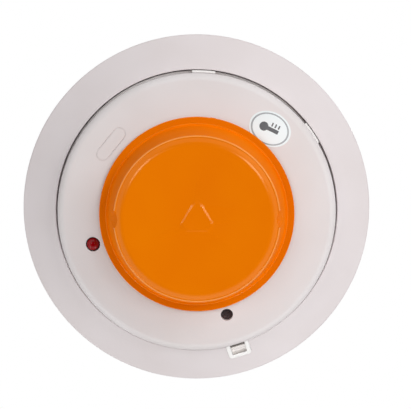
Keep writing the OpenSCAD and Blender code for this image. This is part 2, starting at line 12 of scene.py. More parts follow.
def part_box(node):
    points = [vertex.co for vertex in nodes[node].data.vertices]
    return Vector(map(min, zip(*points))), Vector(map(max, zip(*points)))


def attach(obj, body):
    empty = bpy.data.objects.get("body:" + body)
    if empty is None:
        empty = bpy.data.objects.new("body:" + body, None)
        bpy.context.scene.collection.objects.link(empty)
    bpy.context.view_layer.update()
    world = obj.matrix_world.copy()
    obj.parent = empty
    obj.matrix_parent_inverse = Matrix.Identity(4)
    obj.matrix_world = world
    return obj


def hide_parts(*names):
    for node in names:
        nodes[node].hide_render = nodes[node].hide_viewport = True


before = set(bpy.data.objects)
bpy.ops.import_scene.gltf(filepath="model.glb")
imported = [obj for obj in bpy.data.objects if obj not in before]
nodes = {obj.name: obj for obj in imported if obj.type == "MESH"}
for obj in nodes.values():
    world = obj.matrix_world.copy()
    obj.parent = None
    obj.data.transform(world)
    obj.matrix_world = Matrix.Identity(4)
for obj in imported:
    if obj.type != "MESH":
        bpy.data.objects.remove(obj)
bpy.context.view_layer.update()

MM = 0.001
TURN_STEPS = 192
FINE_STEPS = 64
CUT = 1.0  # how far a cutter runs past the surface
SEAM = 0.002  # points closer than this are merged


# ---- places and sizes read from the frame, in millimetres ----


def low(node):
    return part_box(node)[0] / MM


def high(node):
    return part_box(node)[1] / MM


def middle(node):
    return (low(node) + high(node)) / 2


def at(radius, angle, height=0.0):
    a = math.radians(angle)
    return Vector((radius * math.cos(a), radius * math.sin(a), height))


# trim ring
TRIM_R = high("trim_flange").x
TRIM_EDGE = 2.0
TRIM_WALL = 1.8
LIP_Z = high("trim_flange").z
LIP_GAP = 1.65  # between the head and the lip
LIP_LAND = 0.4  # level width on top of the lip

# head
HEAD_R = high("head_cover").x
SHELL_R = HEAD_R + 0.22
SKIRT_Z = low("head_cover").z
DECK_Z = low("dust_cover").z
WALL = 2.0
FACE_SLOPE = math.radians(12)
SHOULDER_R = 4.0
PORT_R = 2.4
CASE_ANGLES = (30, 150, 270)

# cap
CAP_FLANGE_R = high("dust_cover").x
CAP_MARK_H = 0.35
CAP_TOP_Z = high("dust_cover").z - CAP_MARK_H
DECK_R = CAP_FLANGE_R + 0.4

# sensing cage
GUARD_RING_R = high("thermistor_guard").x
GUARD_TOP_Z = high("thermistor_guard").z
PEG_PLACE_R = GUARD_RING_R - 1.5
PEG_ANGLES = (90, 210, 330)

# base
RIM_T = 2.0
FLOOR_T = 2.5
BACK_Z = 9.4  # the rear of the head
BAYONET_ANGLES = (30, 150, 270)
TERMINAL_ANGLES = (45, 135, 225, 315)
POCKET_ANGLE = -73.25
POCKET_IN, POCKET_OUT, POCKET_HALF = HEAD_R + 0.4, HEAD_R + 7.75, 4.7
POCKET_CORNER = 1.5
POCKET_WALL = 1.55

LIP_R = HEAD_R + LIP_GAP
TRIM_TUBE_R = LIP_R + 1.5
CONE_SLOPE = (LIP_Z - TRIM_EDGE) / (TRIM_R - LIP_R - LIP_LAND)


def cone_z(r):
    """Height of the trim ring's outside at a radius."""
    return TRIM_EDGE + (TRIM_R - r) * CONE_SLOPE


def face_z(r):
    """Height of the head's face at a radius."""
    return DECK_Z - max(0.0, r - DECK_R) * math.tan(FACE_SLOPE)


# ---- modelling helpers ----


def start():
    """Object mode with nothing selected."""
    if bpy.context.object and bpy.context.object.mode != "OBJECT":
        bpy.ops.object.mode_set(mode="OBJECT")
    bpy.ops.object.select_all(action="DESELECT")


def editing():
    bpy.ops.object.mode_set(mode="EDIT")
    bpy.ops.mesh.select_mode(type="EDGE")


def activate(piece):
    start()
    piece.select_set(True)
    bpy.context.view_layer.objects.active = piece


def settle(name):
    """Names the active object, closes its seams, turns its faces out and puts its place into the mesh."""
    piece = bpy.context.object
    bpy.ops.object.mode_set(mode="EDIT")
    bpy.ops.mesh.select_all(action="SELECT")
    bpy.ops.mesh.remove_doubles(threshold=SEAM * MM)
    bpy.ops.mesh.normals_make_consistent(inside=False)
    bpy.ops.object.mode_set(mode="OBJECT")
    bpy.ops.object.transform_apply(location=True, rotation=True, scale=True)
    piece.name = name
    return piece


def pick_edges(piece, wanted):
    """In edit mode, selects the edges whose two ends both satisfy wanted(x, y, z), in millimetres."""
    bpy.ops.mesh.select_all(action="DESELECT")
    bpy.ops.object.mode_set(mode="OBJECT")
    hit = [wanted(*(v.co / MM)) for v in piece.data.vertices]
    for edge in piece.data.edges:
        edge.select = hit[edge.vertices[0]] and hit[edge.vertices[1]]
    bpy.ops.object.mode_set(mode="EDIT")


def turned(name, corners, steps=TURN_STEPS, closed=True):
    """Solid of revolution: a circle extruded and resized from corner to corner, then each corner rounded.

    A corner is (radius, height, rounding). A closed outline ends where it starts; an open one runs from
    the axis to the axis and its two end rings are filled.
    """
    start()
    r, z, _ = corners[0]
    bpy.ops.mesh.primitive_circle_add(vertices=steps, radius=r * MM, location=(0, 0, 0))
    piece = bpy.context.object
    editing()
    bpy.ops.transform.translate(value=(0, 0, z * MM))
    if not closed:
        bpy.ops.mesh.edge_face_add()
        bpy.ops.mesh.select_all(action="SELECT")
    path = corners[1:] + (corners[:1] if closed else [])
    for next_r, next_z, _ in path:
        if closed or (next_r, next_z) != (r, z):
            bpy.ops.mesh.extrude_edges_move(TRANSFORM_OT_translate={"value": (0, 0, (next_z - z) * MM)})
            grow = next_r / r
            bpy.ops.transform.resize(value=(grow, grow, 1), center_override=(0, 0, 0))
        r, z = next_r, next_z
    if not closed:
        bpy.ops.mesh.edge_face_add()
    bpy.ops.mesh.select_all(action="SELECT")
    bpy.ops.mesh.remove_doubles(threshold=SEAM * MM)
    for corner_r, corner_z, rounding in corners:
        if rounding:
            round_ring(piece, corner_r, corner_z, rounding)
    return settle(name)


def round_ring(piece, radius, height, width, segments=5):
    """Rounds the circular edge at a radius and a height."""
    def on_ring(x, y, z):
        return abs(math.hypot(x, y) - radius) < 0.01 and abs(z - height) < 0.01

    pick_edges(piece, on_ring)
    bpy.ops.mesh.bevel(offset=width * MM, segments=segments, affect="EDGES")


def drill(name, radius, bottom, top, centre, steps=FINE_STEPS):
    """Round rod between two heights."""
    start()
    place = Vector((centre.x, centre.y, (bottom + top) / 2)) * MM
    bpy.ops.mesh.primitive_cylinder_add(vertices=steps, radius=radius * MM, depth=(top - bottom) * MM,
                                        location=place)
    return settle(name)


def cross_rod(name, radius, half, u, z):
    """Round rod along Y, as long as twice the half."""
    start()
    bpy.ops.mesh.primitive_cylinder_add(vertices=32, radius=radius * MM, depth=2 * half * MM,
                                        location=Vector((u, 0, z)) * MM, rotation=(math.radians(90), 0, 0))
    return settle(name)


def block(name, u, v, z, angle=0.0, rounding=0.0, segments=4):
    """Block between u[0]..u[1] outwards, v[0]..v[1] sideways and z[0]..z[1], turned about Z.

    The rounding is for its four upright edges.
    """
    start()
    size = Vector((u[1] - u[0], v[1] - v[0], z[1] - z[0]))
    centre = Vector((u[0] + u[1], v[0] + v[1], z[0] + z[1])) / 2
    bpy.ops.mesh.primitive_cube_add(size=MM, location=centre * MM, scale=size)
    bpy.ops.object.transform_apply(location=True, rotation=True, scale=True)
    piece = bpy.context.object
    if rounding:
        round_rising(piece, size.z, rounding, segments)
    piece.rotation_euler.z = math.radians(angle)
    return settle(name)


def round_rising(piece, rise, rounding, segments):
    """Rounds the edges that climb through the rise, and leaves nothing selected."""
    editing()
    bpy.ops.mesh.select_all(action="DESELECT")
    bpy.ops.object.mode_set(mode="OBJECT")
    for edge in piece.data.edges:
        a, b = (piece.data.vertices[i].co for i in edge.vertices)
        edge.select = abs(a.z - b.z) > rise / 2 * MM
    bpy.ops.object.mode_set(mode="EDIT")
    bpy.ops.mesh.bevel(offset=rounding * MM, segments=segments, affect="EDGES")
    bpy.ops.mesh.select_all(action="DESELECT")
    bpy.ops.object.mode_set(mode="OBJECT")


def slice_to_cone(piece, lip_z):
    """Takes away what stands above a plane along the trim ring's cone, at the height it has by the lip."""
    activate(piece)
    bpy.ops.object.mode_set(mode="EDIT")
    bpy.ops.mesh.select_all(action="SELECT")
    slope = math.atan(CONE_SLOPE)
    point = Vector((LIP_R + LIP_LAND, 0, lip_z)) * MM
    normal = (math.sin(slope), 0, math.cos(slope))
    bpy.ops.mesh.bisect(plane_co=point, plane_no=normal, use_fill=True, clear_outer=True)
    bpy.ops.object.mode_set(mode="OBJECT")


def sector(name, radii, heights, middle_angle, width):
    """Part of a ring: an upright rectangle spun about Z."""
    start()
    size = (radii[1] - radii[0], heights[1] - heights[0])
    bpy.ops.mesh.primitive_plane_add(size=MM, location=(0, 0, 0))
    piece = bpy.context.object
    piece.scale = (size[0], size[1], 1)
    piece.rotation_euler.x = math.radians(90)
    piece.location = Vector(((radii[0] + radii[1]) / 2, 0, (heights[0] + heights[1]) / 2)) * MM
    bpy.ops.object.transform_apply(location=True, rotation=True, scale=True)
    piece.rotation_euler.z = math.radians(middle_angle - width / 2)
    bpy.ops.object.transform_apply(location=True, rotation=True, scale=True)
    bpy.ops.object.mode_set(mode="EDIT")
    bpy.ops.mesh.select_all(action="SELECT")
    degrees_a_step = 2.5
    steps = max(3, round(width / degrees_a_step))
    bpy.ops.mesh.spin(steps=steps, angle=math.radians(width), center=(0, 0, 0), axis=(0, 0, -1))
    return settle(name)


def ring_of(piece, angles):
    """The piece with its copies, each with its own mesh, turned about Z to the angles, all joined."""
    activate(piece)
    copies = []
    for angle in angles:
        copy = piece.copy()
        copy.data = piece.data.copy()
        bpy.context.scene.collection.objects.link(copy)
        activate(copy)
        copy.rotation_euler.z = math.radians(angle)
        bpy.ops.object.transform_apply(rotation=True)
        copies.append(copy)
    bpy.data.objects.remove(piece)
    activate(copies[0])
    for copy in copies[1:]:
        copy.select_set(True)
    bpy.ops.object.join()
    return copies[0]


def combine(piece, others, operation):
    """Boolean of the piece with each other object, which is then removed."""
    for other in others:
        activate(piece)
        change = piece.modifiers.new("shape", "BOOLEAN")
        change.operation = operation
        change.solver = "EXACT"
        change.object = other
        bpy.ops.object.modifier_apply(modifier=change.name)
        bpy.data.objects.remove(other)
    return piece


def cut_with(piece, *cutters):
    return combine(piece, cutters, "DIFFERENCE")


def add_to(piece, *others):
    return combine(piece, others, "UNION")


def soften(piece, width, angle=35, segments=3):
    """Rounds every edge sharper than the angle."""
    activate(piece)
    edge = piece.modifiers.new("edges", "BEVEL")
    edge.width = width * MM
    edge.segments = segments
    edge.limit_method = "ANGLE"
    edge.angle_limit = math.radians(angle)
    edge.miter_outer = "MITER_ARC"
    bpy.ops.object.modifier_apply(modifier=edge.name)
    return piece


def finish_piece(piece, body, replaced, slot, material, smooth=35):
    """Shades the piece, gives it its material and tells the frame its body and its nodes. The slot is not
    used.
    """
    activate(piece)
    bpy.ops.object.shade_smooth_by_angle(angle=math.radians(smooth))
    even = piece.modifiers.new("even", "WEIGHTED_NORMAL")
    even.keep_sharp = True
    bpy.ops.object.modifier_apply(modifier=even.name)
    piece.data.materials.clear()
    piece.data.materials.append(material)
    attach(piece, body)
    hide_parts(*replaced)
    return piece


# ---- materials ----


def linear(code):
    """Linear colour with alpha from an sRGB hex value."""
    values = [int(code[i:i + 2], 16) / 255 for i in (1, 3, 5)]
    return tuple(v / 12.92 if v <= 0.04045 else ((v + 0.055) / 1.055) ** 2.4 for v in values) + (1.0,)


def new_material(name):
    made = bpy.data.materials.new(name)
    made.use_nodes = True
    tree = made.node_tree
    return made, tree, tree.nodes["Principled BSDF"]


def add(tree, kind, settings=None, links=None, stops=()):
    """Adds a node with its settings and links.

    A setting or link is named by property, socket name or socket number. Stops are a colour ramp's
    positions with hex colours.
    """
    node = tree.nodes.new(kind)
    for key, value in (settings or {}).items():
        if isinstance(key, str) and hasattr(node, key):
            setattr(node, key, value)
        else:
            node.inputs[key].default_value = value
    for key, source in (links or {}).items():
        tree.links.new(source, node.inputs[key])
    for index, (position, code) in enumerate(stops):
        bar = node.color_ramp.elements
        if index in (0, len(stops) - 1):
            bar[0 if index == 0 else -1].position = position
            bar[0 if index == 0 else -1].color = linear(code)
        else:
            bar.new(position).color = linear(code)
    return node


def moulded(name, shades, roughness, grain_mm, bump_mm, ior=1.5, gloss_spread=0.06, gloss=0.5,
            gloss_tint="#FFFFFF"):
    """Injection-moulded plastic: a slow shift of shade from flow, and a fine matt grain.

    The grain comes from the mould's texture and is drawn coarser than the real one, so that it shows.
    """
    made, tree, shader = new_material(name)
    flow_mm = 28
    place = add(tree, "ShaderNodeTexCoord").outputs["Object"]
    flow = add(tree, "ShaderNodeTexNoise", {"Scale": 1 / (flow_mm * MM), "Detail": 2.0, "Roughness": 0.5},
               {"Vector": place})
    grain = add(tree, "ShaderNodeTexNoise", {"Scale": 1 / (grain_mm * MM), "Detail": 3.0, "Roughness": 0.6},
                {"Vector": place})
    shade = add(tree, "ShaderNodeValToRGB", None, {"Fac": flow.outputs["Fac"]}, shades)
    tree.links.new(shade.outputs["Color"], shader.inputs["Base Color"])
    spread = add(tree, "ShaderNodeMapRange", {
        "From Min": 0.3, "From Max": 0.7,
        "To Min": roughness - gloss_spread, "To Max": roughness + gloss_spread,
    }, {"Value": grain.outputs["Fac"]})
    tree.links.new(spread.outputs["Result"], shader.inputs["Roughness"])
    bump = add(tree, "ShaderNodeBump", {"Strength": 0.35, "Distance": bump_mm * MM},
               {"Height": grain.outputs["Fac"]})
    tree.links.new(bump.outputs["Normal"], shader.inputs["Normal"])
    shader.inputs["IOR"].default_value = ior
    shader.inputs["Specular IOR Level"].default_value = gloss
    shader.inputs["Specular Tint"].default_value = linear(gloss_tint)
    return made


def rolled_metal(name, shades, roughness, line_mm):
    """Drawn or rolled metal: fine lines along X, with a slow shift of shade."""
    made, tree, shader = new_material(name)
    place = add(tree, "ShaderNodeTexCoord").outputs["Object"]
    stretch = add(tree, "ShaderNodeMapping", {"Scale": (0.08, 1, 1)}, {"Vector": place})
    lines = add(tree, "ShaderNodeTexNoise", {"Scale": 1 / (line_mm * MM), "Detail": 2.0},
                {"Vector": stretch.outputs["Vector"]})
    shade = add(tree, "ShaderNodeValToRGB", None, {"Fac": lines.outputs["Fac"]}, shades)
    tree.links.new(shade.outputs["Color"], shader.inputs["Base Color"])
    rough = add(tree, "ShaderNodeMapRange", {"To Min": roughness - 0.08, "To Max": roughness + 0.1},
                {"Value": lines.outputs["Fac"]})
    tree.links.new(rough.outputs["Result"], shader.inputs["Roughness"])
    shader.inputs["Metallic"].default_value = 1.0
    return made


# ABS in warm white from a lightly eroded mould: matt, with a soft sheen. The trim ring is a shade greyer.
warm_abs = moulded("warm_white_abs", [(0.3, "#E1DAD9"), (0.7, "#E6E0E0")], 0.46, 0.5, 0.02, 1.53)
trim_abs = moulded("trim_ring_abs", [(0.3, "#E0D7D7"), (0.7, "#E5DDDE")], 0.48, 0.5, 0.02, 1.53)
# The base is a whiter, slightly glossier ABS that shows bright through the gap.
white_abs = moulded("bright_white_abs", [(0.3, "#F8F5F3"), (0.7, "#FCFAF8")], 0.38, 0.6, 0.012, 1.53)
# Polyethylene cap from a polished mould: strong orange, waxy soft gloss, faint flow shades.
orange_pe = moulded("orange_polyethylene", [(0.3, "#EB7600"), (0.7, "#EF7D00")], 0.20, 1.2, 0.003, 1.51,
                    0.02, 0.5, "#FFE9B8")
# The cap's side was moulded against a sand-blasted wall, so it is matt, with hardly any gloss.
matt_orange_pe = moulded("orange_polyethylene_matt", [(0.3, "#F07400"), (0.7, "#F47C00")], 0.6, 0.8, 0.02,
                         1.51, 0.06, 0.02)
# Along the thin rounded crest the orange is painted paler: a painted highlight for the bright line the lights
# leave there.
crest_highlight_orange_pe = moulded("orange_polyethylene_crest_painted_highlight", [(0.3, "#F69334"), (0.7, "#F99B40")], 0.3, 0.8, 0.003,
                         1.51, 0.02, 0.5)
# ABS of the lever, a little rougher than the base. Its colour is painted lighter than the head's: painted
# light that offsets the shade it sits in inside the pocket.
lever_lightened_abs = moulded("lever_abs_painted_light", [(0.3, "#F1EBE7"), (0.7, "#F7F2EF")], 0.55, 0.4, 0.02, 1.53)
# Nylon, dark for the plunger and left natural for small insulating parts: dull, slightly uneven.
dark_nylon = moulded("dark_nylon", [(0.3, "#45393A"), (0.7, "#574A4A")], 0.5, 0.4, 0.02, 1.53)
natural_nylon = moulded("natural_nylon", [(0.3, "#DCD4C0"), (0.7, "#E6DFCD")], 0.45, 0.6, 0.015)
# Coatings of the electronic parts: moulded epoxy, shrink sleeve, dipped lacquer, glossy solder mask.
black_epoxy = moulded("black_epoxy", [(0.3, "#18181A"), (0.7, "#242426")], 0.4, 0.5, 0.015)
blue_sleeve = moulded("blue_shrink_sleeve", [(0.3, "#1B2340"), (0.7, "#232C4E")], 0.3, 0.9, 0.01)
tan_lacquer = moulded("tan_lacquer", [(0.3, "#B98F5C"), (0.7, "#C79D6A")], 0.35, 0.7, 0.01)
board_mask = moulded("green_solder_mask", [(0.3, "#0B4A22"), (0.7, "#11592B")], 0.35, 1.2, 0.01)
# Metals as rolled, plated or drawn: bright, with faint lines along their length.
tinned_brass = rolled_metal("rolled_brass", [(0.3, "#CDA558"), (0.7, "#DDB96E")], 0.28, 0.25)
zinc_steel = rolled_metal("zinc_plated_steel", [(0.3, "#A9ABAD"), (0.7, "#C4C6C8")], 0.32, 0.25)
tinned_wire = rolled_metal("tinned_copper_wire", [(0.3, "#B9BABC"), (0.7, "#CFD0D2")], 0.3, 0.2)


def led_lens():
    """Cast epoxy lens, deep red all through: smooth, with tiny casting ripples."""
    made, tree, shader = new_material("red_epoxy_lens")
    place = add(tree, "ShaderNodeTexCoord").outputs["Object"]
    ripple_mm, ripple_depth = 1.5, 0.02
    ripple = add(tree, "ShaderNodeTexNoise", {"Scale": 1 / (ripple_mm * MM), "Detail": 1.0},
                 {"Vector": place})
    red = add(tree, "ShaderNodeValToRGB", None, {"Fac": ripple.outputs["Fac"]},
              [(0.3, "#860008"), (0.7, "#98000B")])
    tree.links.new(red.outputs["Color"], shader.inputs["Base Color"])
    bump = add(tree, "ShaderNodeBump", {"Strength": 0.15, "Distance": ripple_depth * MM},
               {"Height": ripple.outputs["Fac"]})
    tree.links.new(bump.outputs["Normal"], shader.inputs["Normal"])
    shader.inputs["Roughness"].default_value = 0.14
    shader.inputs["IOR"].default_value = 1.55
    shader.inputs["Specular IOR Level"].default_value = 0.25
    return made


red_epoxy = led_lens()


def label_film(centre, turn):
    """Printed film sticker: white with a grey oval line, and a plain thermometer sign in dark grey."""
    made, tree, shader = new_material("printed_label_film")
    place = add(tree, "ShaderNodeTexCoord").outputs["Object"]
    shifted = add(tree, "ShaderNodeVectorMath", {"operation": "SUBTRACT", 1: tuple(centre * MM)}, {0: place})
    level = add(tree, "ShaderNodeVectorRotate", {"rotation_type": "Z_AXIS", "Angle": -math.radians(turn)},
                {"Vector": shifted.outputs[0]})
    in_mm = add(tree, "ShaderNodeVectorMath", {"operation": "SCALE", "Scale": 1 / MM}, {0: level.outputs[0]})

    def share(x, y, half_x, half_y):
        """Place on the sticker from a point, as a share of the half sizes."""
        away = add(tree, "ShaderNodeVectorMath", {"operation": "SUBTRACT", 1: (x, y, 0)},
                   {0: in_mm.outputs[0]})
        return add(tree, "ShaderNodeVectorMath", {"operation": "MULTIPLY", 1: (1 / half_x, 1 / half_y, 0)},
                   {0: away.outputs[0]}).outputs[0]

    def oval(x, y, half_x, half_y):
        """Distance from the middle of an oval, 1 on its line."""
        far = add(tree, "ShaderNodeVectorMath", {"operation": "LENGTH"}, {0: share(x, y, half_x, half_y)})
        return far.outputs["Value"]

    def bar(x, y, half_x, half_y):
        """1 inside an upright rectangle and 0 outside."""
        size = add(tree, "ShaderNodeVectorMath", {"operation": "ABSOLUTE"}, {0: share(x, y, half_x, half_y)})
        parts = add(tree, "ShaderNodeSeparateXYZ", None, {0: size.outputs[0]})
        most = add(tree, "ShaderNodeMath", {"operation": "MAXIMUM"},
                   {0: parts.outputs["X"], 1: parts.outputs["Y"]})
        inside = add(tree, "ShaderNodeMath", {"operation": "LESS_THAN", 1: 1.0}, {0: most.outputs[0]})
        return inside.outputs[0]

    line_half = 0.045
    on_line = add(tree, "ShaderNodeMath", {"operation": "COMPARE", 1: 1.0, 2: line_half},
                  {0: oval(0, 0, 7.35, 5.75)})
    bulb_r = 1.75
    bulb = add(tree, "ShaderNodeMath", {"operation": "LESS_THAN", 1: 1.0},
               {0: oval(-2.6, 0, bulb_r, bulb_r)})
    sign = bulb.outputs[0]
    stem = bar(0.6, 0, 2.9, 0.75)
    ticks = [bar(x, 1.95, 0.28, 0.75) for x in (0.2, 1.6, 3.0)]
    for mark in [stem] + ticks:
        sign = add(tree, "ShaderNodeMath", {"operation": "MAXIMUM"}, {0: sign, 1: mark}).outputs[0]
    film = add(tree, "ShaderNodeMix", {"data_type": "RGBA", 6: linear("#ECF4F6"), 7: linear("#9EA3A7")},
               {0: on_line.outputs[0]})
    ink = add(tree, "ShaderNodeMix", {"data_type": "RGBA", 7: linear("#4A4B50")},
              {0: sign, 6: film.outputs[2]})
    tree.links.new(ink.outputs[2], shader.inputs["Base Color"])
    shader.inputs["Roughness"].default_value = 0.32
    return made


# ---- trim ring ----


def trim_ring():
    """Wide cone with a rounded rim and lip, stiffening ribs below and a notch for the release pocket."""
    fall = TRIM_WALL * math.hypot(1, CONE_SLOPE)
    skirt_r = TRIM_R - TRIM_WALL
    ring = turned("trim_ring", [
        (TRIM_R, 0, 0.3), (TRIM_R, TRIM_EDGE, 0.7), (LIP_R + LIP_LAND, LIP_Z, 0.25), (LIP_R, LIP_Z, 0.15),
        (LIP_R, RIM_T, 0), (TRIM_TUBE_R, RIM_T, 0), (TRIM_TUBE_R, cone_z(TRIM_TUBE_R) - fall, 0.5),
        (skirt_r, cone_z(skirt_r) - fall, 0.4), (skirt_r, 0, 0.15),
    ])
    rib_count, rib_half, rib_foot, rib_top, rib_sink = 12, 0.6, 0.6, 7.6, 0.6
    rib = block("rib", (TRIM_TUBE_R - rib_sink, skirt_r + rib_sink), (-rib_half, rib_half),
                (rib_foot, rib_top))
    ribs = ring_of(rib, [step * 360 / rib_count for step in range(rib_count)])
    inside_r, outside_r = LIP_R + 0.7, TRIM_R - 0.5
    hollow = turned("hollow", [
        (inside_r, 3.0, 0), (inside_r, cone_z(inside_r) - fall / 2, 0),
        (outside_r, cone_z(outside_r) - fall / 2, 0), (outside_r, rib_foot, 0), (TRIM_R - 3.0, rib_foot, 0),
    ])
    add_to(ring, combine(ribs, [hollow], "INTERSECT"))
    play = 0.06
    notch = block("notch", (POCKET_IN - CUT, POCKET_OUT + play), (-POCKET_HALF - play, POCKET_HALF + play),
                  (-CUT, LIP_Z + CUT), POCKET_ANGLE, POCKET_CORNER + 0.05)
    cut_with(ring, notch)
    return finish_piece(ring, "base", ["trim_flange"], "trim_plastic", trim_abs)


# ---- head ----


def pill_groove():
    """Closed oval line, engraved square to the sloping face."""
    radius, angle, length, width, line, depth = DECK_R + 4.6, 140.7, 15.2, 5.4, 0.45, 0.28
    nearly = 0.01  # a full half-circle would leave doubled corners
    outer = block("pill", (-width / 2, width / 2), (-length / 2, length / 2), (-depth, 2), 0,
                  width / 2 - nearly, 16)
    inner_w, inner_l = width - 2 * line, length - 2 * line
    inner = block("pill_in", (-inner_w / 2, inner_w / 2), (-inner_l / 2, inner_l / 2), (-2, 3), 0,
                  inner_w / 2 - nearly, 16)
    cut_with(outer, inner)
    outer.rotation_euler = (0, FACE_SLOPE, 0)
    outer.location = Vector((radius, 0, face_z(radius))) * MM
    activate(outer)
    bpy.ops.object.transform_apply(location=True, rotation=True)
    outer.rotation_euler = (0, 0, math.radians(angle))
    bpy.ops.object.transform_apply(rotation=True)
    return outer


def head_shell():
    """Domed cover: upright wall, round shoulder, sloping face and flat deck, hollow below."""
    edge_z = DECK_Z - (SHELL_R - DECK_R) * math.tan(FACE_SLOPE)
    inner_r, inner_fall = HEAD_R - WALL, WALL / math.cos(FACE_SLOPE)
    inner_edge_z = edge_z - inner_fall + WALL * 0.21
    bend = math.tan((math.pi / 2 - FACE_SLOPE) / 2)
    sleeve_r, boss_r, boss_top = 1.9, 4.0, DECK_Z + 3.5
    shell = turned("head_shell", [
        (SHELL_R, SKIRT_Z, 0.25), (SHELL_R, edge_z, SHOULDER_R * bend), (DECK_R, DECK_Z, 1.2),
        (boss_r, DECK_Z, 0.3), (boss_r, boss_top, 0.4), (sleeve_r, boss_top, 0),
        (sleeve_r, DECK_Z - inner_fall, 0), (DECK_R, DECK_Z - inner_fall, 0),
        (inner_r, inner_edge_z, (SHOULDER_R - WALL) * bend), (inner_r, SKIRT_Z, 0.25),
    ])
    lamp_place, port_place = middle("indicator_led"), middle("test_plunger")
    tube_wall, skin, tube_z = 1.2, 1.2, low("test_plunger").z + 0.9
    tube = drill("tube", PORT_R + tube_wall, tube_z, face_z(port_place.xy.length) - skin, port_place)
    add_to(shell, tube)
    board_top_z = high("circuit_board").z
    post_r, post_inset, pilot_r, pilot_depth = 3.2, 4, 1.5, 6.8
    for angle in CASE_ANGLES:
        place = at(DECK_R - post_inset, angle)
        post = drill("boss", post_r, board_top_z, DECK_Z - skin, place, 48)
        pilot = drill("pilot", pilot_r, board_top_z - CUT, board_top_z + pilot_depth, place, 32)
        add_to(shell, post)
        cut_with(shell, pilot)
    lamp_hole_r, peg_hole_r = 2.8, 1.25
    cut_with(shell, drill("lamp_hole", lamp_hole_r, DECK_Z - 6, DECK_Z + CUT, lamp_place),
             drill("port_hole", PORT_R, tube_z - CUT, DECK_Z + CUT, port_place), pill_groove())
    for angle in PEG_ANGLES:
        cut_with(shell, drill("peg_hole", peg_hole_r, DECK_Z - 5, DECK_Z + CUT, at(PEG_PLACE_R, angle), 32))
    return finish_piece(shell, "head", ["head_cover"], "head_plastic", warm_abs, 28)


# ---- dust cover ----


def flute_rods(radius, drop, reach_r, crest_z, lean):
    """Rods that sink the two finger flutes. They lean towards the axis as they rise past the crest."""
    rods = []
    for side in (-1, 1):
        rod = drill("flute", radius, -drop, 8, Vector((0, 0, 0)), 96)
        rod.rotation_euler.y = -side * lean
        rod.location = Vector((side * (reach_r + radius), 0, crest_z)) * MM
        activate(rod)
        bpy.ops.object.transform_apply(location=True, rotation=True)
        rods.append(rod)
    return rods


def dust_cap():
    """Orange cap: flange, tapered wall with two finger flutes, raised crest, low cone and flat top."""
    base_r = CAP_FLANGE_R - 3.3
    crest_r = base_r - 3.3
    top_r = crest_r - 2.85
    fall = math.tan(math.radians(25))
    bead_w, crest_rounding = 0.75, 0.3
    bead_foot_z = CAP_TOP_Z - (crest_r - bead_w - top_r) * fall
    crest_z = bead_foot_z - 0.08
    wall, wall_z = 1.3, DECK_Z + 1.8
    foot_z = DECK_Z + 0.25
    flute_r, flute_reach, flute_drop, flute_lean = 6.5, crest_r - 0.95, 6.0, math.radians(20)
    cap = turned("dust_cap", [
        (base_r, DECK_Z, 0), (base_r, foot_z, 0), (CAP_FLANGE_R, foot_z, 0.3), (CAP_FLANGE_R, wall_z, 0.35),
        (base_r + 0.7, wall_z, 0.15), (base_r + 0.55, wall_z + 0.45, 0.15), (base_r - 0.1, wall_z + 0.5, 0.2),
        (crest_r, crest_z, crest_rounding),
        (crest_r - bead_w + 0.25, bead_foot_z + 0.12, 0.12), (crest_r - bead_w, bead_foot_z, 0.1),
        (top_r, CAP_TOP_Z, 0.85),
    ], closed=False)
    cut_with(cap, *flute_rods(flute_r, flute_drop, flute_reach, crest_z, flute_lean))
    soften(cap, 0.25, 24, 3)
    inner_r = base_r - wall
    core = turned("core", [
        (inner_r, DECK_Z - CUT, 0), (inner_r, wall_z, 0.6), (crest_r - wall, crest_z - 0.4, 0.8),
        (top_r - wall + 0.3, CAP_TOP_Z - wall, 0.5),
    ], closed=False)
    cut_with(core, *flute_rods(flute_r + wall, flute_drop + wall, flute_reach - wall, crest_z, flute_lean))
    cut_with(cap, core)
    guide_half, guide_count = 0.6, 6
    for step in range(guide_count):
        angle = 30 + step * 360 / guide_count
        add_to(cap, block("guide", (GUARD_RING_R + 0.3, base_r - 0.6), (-guide_half, guide_half),
                          (DECK_Z + 0.2, DECK_Z + 4.0), angle))
    add_to(cap, raised_triangle(), gate_mark())
    finish_piece(cap, "cap", ["dust_cover"], "cap_plastic", orange_pe, 12)
    paint_cap(cap, wall_z + crest_rounding, crest_z, crest_rounding, crest_r - 0.42)
    return cap


def paint_cap(cap, wall_low, crest_z, crest_reach, crest_inside):
    """Matt side, a crest painted paler as a painted highlight, and a triangle with flat faces so that its low
    edges read.
    """
    cap.data.materials.append(matt_orange_pe)
    cap.data.materials.append(crest_highlight_orange_pe)
    matt, painted_highlight = 1, 2
    for face in cap.data.polygons:
        z, out_r = face.center.z / MM, face.center.xy.length / MM
        if wall_low < z < crest_z - crest_reach:
            face.material_index = matt
        # the crest's faces get the paler orange, a painted highlight
        elif abs(z - crest_z) <= crest_reach and out_r > crest_inside:
            face.material_index = painted_highlight
        if z > CAP_TOP_Z + 0.02:
            face.use_smooth = False


def raised_triangle():
    """Low triangle with rounded corners and gently sloping sides."""
    radius, corner, proud, side_w = 9.3, 2.2, 0.2, 0.76
    start()
    bpy.ops.mesh.primitive_cone_add(vertices=3, radius1=radius * MM, radius2=(radius - 2 * side_w) * MM,
                                    depth=proud * MM, location=(0, 0, (CAP_TOP_Z + proud / 2) * MM))
    mark = bpy.context.object
    bpy.ops.object.transform_apply(location=True)
    round_rising(mark, proud, corner, 10)
    for face in mark.data.polygons:
        face.select = face.normal.z < -0.9
    bpy.ops.object.mode_set(mode="EDIT")
    root = 0.5  # how far it reaches into the cap's top
    bpy.ops.mesh.extrude_region_move(TRANSFORM_OT_translate={"value": (0, 0, -root * MM)})
    bpy.ops.object.mode_set(mode="OBJECT")
    return settle("mark")


